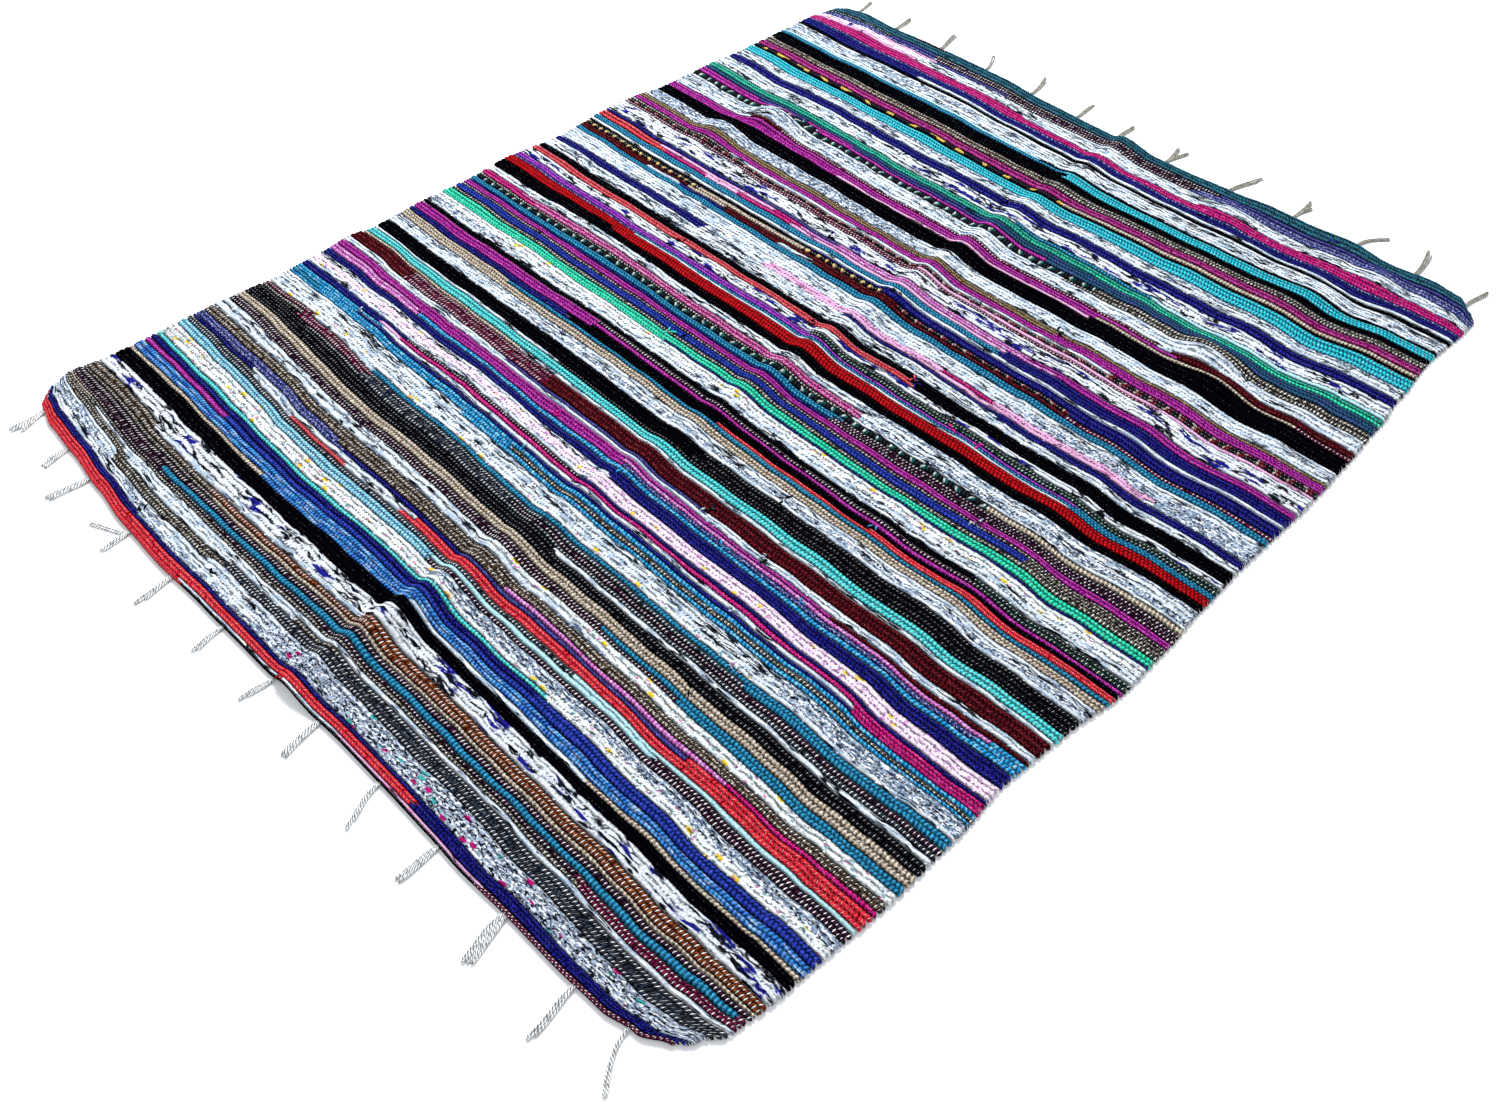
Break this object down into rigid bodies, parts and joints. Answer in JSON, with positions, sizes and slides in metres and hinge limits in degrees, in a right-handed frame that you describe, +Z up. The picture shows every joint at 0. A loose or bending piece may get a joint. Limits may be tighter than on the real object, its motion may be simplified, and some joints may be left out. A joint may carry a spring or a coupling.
{
  "type": "rag rug",
  "caption": "Flat-woven rag rug with cross stripes of many colours, a long storage fold, and loose warp tassels along both short ends.",
  "frame": {"origin": "on the floor under the middle of the rug's underside, half way across its width and half way between its two short ends", "axes": "+X across the width along the rag rows, +Y along the warps from the red end to the teal end, +Z up out of the upper face"},
  "size_m": [1.5105, 1.9499, 0.0306],
  "materials": {
    "rags": "matte woven cotton rags in many colours",
    "warp_cotton": "matte undyed cotton cord"
  },
  "bodies": {
    "root": {"rug": "rags", "tassel_near_01": "warp_cotton", "tassel_near_02": "warp_cotton", "tassel_near_03": "warp_cotton", "tassel_near_04": "warp_cotton", "tassel_near_05": "warp_cotton", "tassel_near_06": "warp_cotton", "tassel_near_07": "warp_cotton", "tassel_near_08": "warp_cotton", "tassel_near_09": "warp_cotton", "tassel_near_10": "warp_cotton", "tassel_near_11": "warp_cotton", "tassel_near_12": "warp_cotton", "tassel_near_13": "warp_cotton", "tassel_far_01": "warp_cotton", "tassel_far_02": "warp_cotton", "tassel_far_03": "warp_cotton", "tassel_far_04": "warp_cotton", "tassel_far_05": "warp_cotton", "tassel_far_06": "warp_cotton", "tassel_far_07": "warp_cotton", "tassel_far_08": "warp_cotton", "tassel_far_09": "warp_cotton", "tassel_far_10": "warp_cotton", "tassel_far_11": "warp_cotton", "tassel_far_12": "warp_cotton", "tassel_far_13": "warp_cotton"}
  },
  "joints": []
}
